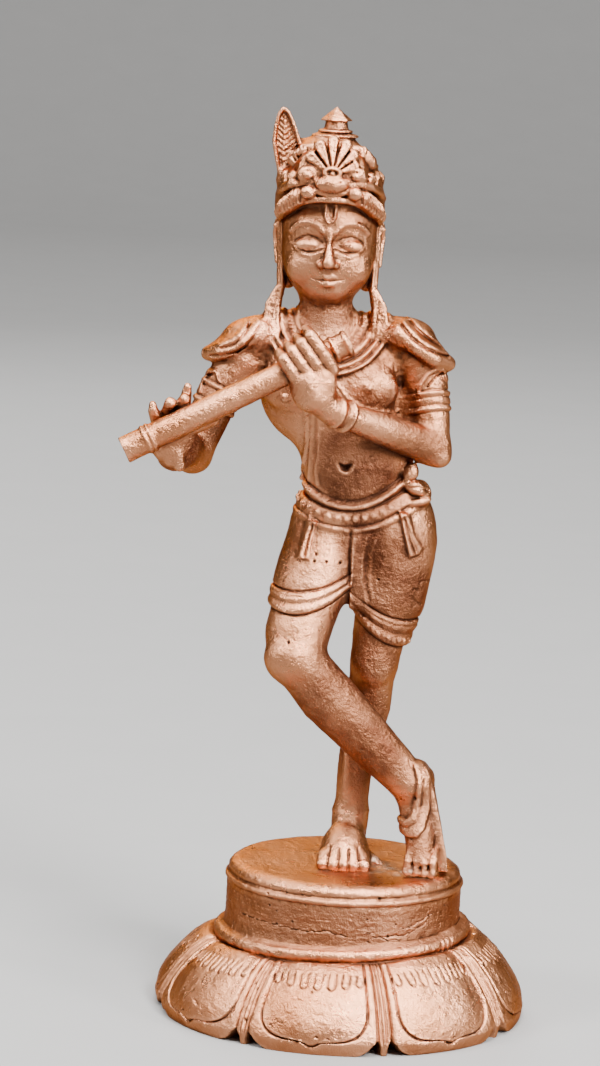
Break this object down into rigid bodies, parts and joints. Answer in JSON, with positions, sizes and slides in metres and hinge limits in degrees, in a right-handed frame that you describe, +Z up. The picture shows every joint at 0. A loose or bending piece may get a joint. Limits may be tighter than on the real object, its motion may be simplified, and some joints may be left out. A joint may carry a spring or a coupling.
{
  "type": "krishna figure",
  "caption": "Small cast copper figure of a crowned flute player standing with crossed legs on a round lotus plinth; rests on its underside.",
  "frame": {"origin": "centre of the plinth's flat underside", "axes": "+Z up through the crown; the figure faces -Y; its left side is at +X"},
  "size_m": [0.0845, 0.074, 0.18],
  "materials": {
    "figure_copper": "cast copper, rubbed bright on raised parts, dark in the hollows",
    "plinth_copper": "cast copper, rubbed bright on raised parts, pitted"
  },
  "bodies": {
    "root": {"krishna_figure": "figure_copper", "lotus_plinth": "plinth_copper"}
  },
  "joints": []
}
